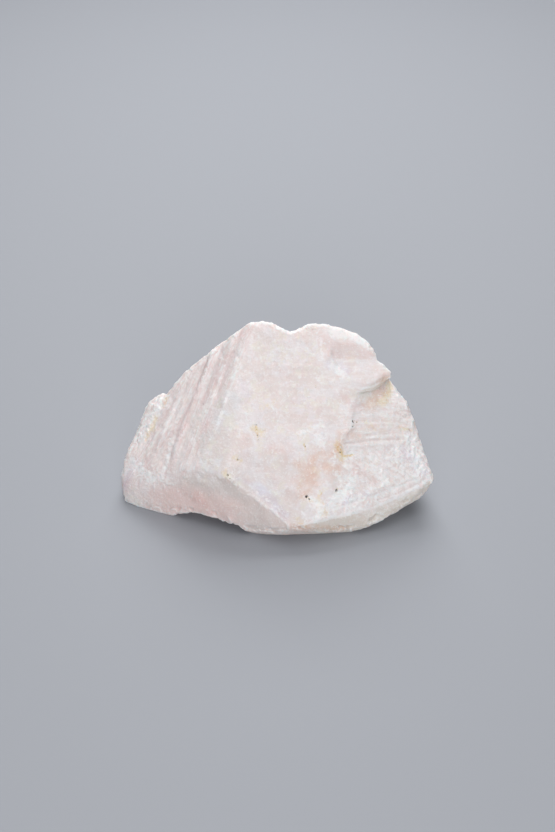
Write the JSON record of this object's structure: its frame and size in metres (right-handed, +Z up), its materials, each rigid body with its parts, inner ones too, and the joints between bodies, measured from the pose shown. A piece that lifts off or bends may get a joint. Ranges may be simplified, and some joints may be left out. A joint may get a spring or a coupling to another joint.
{
  "type": "pink calcite chunk",
  "caption": "Rough, unpolished chunk of pale pink calcite with a grooved left face, a broad granular front and overhung lower edges, lying loose on a flat underside.",
  "frame": {"origin": "centre of the bounding box's base, on the flat underside that the stone lies on", "axes": "+Z up, +X to the right along the stone's length, -Y towards the viewer, where the broad front face looks"},
  "size_m": [0.111, 0.065, 0.0648],
  "materials": {
    "pink_calcite": "rough broken faces, pale pink to milky white, slightly translucent, with a waxy to glassy sheen on fresh edges and small ochre stains"
  },
  "bodies": {
    "root": {"calcite_chunk": "pink_calcite"}
  },
  "joints": []
}
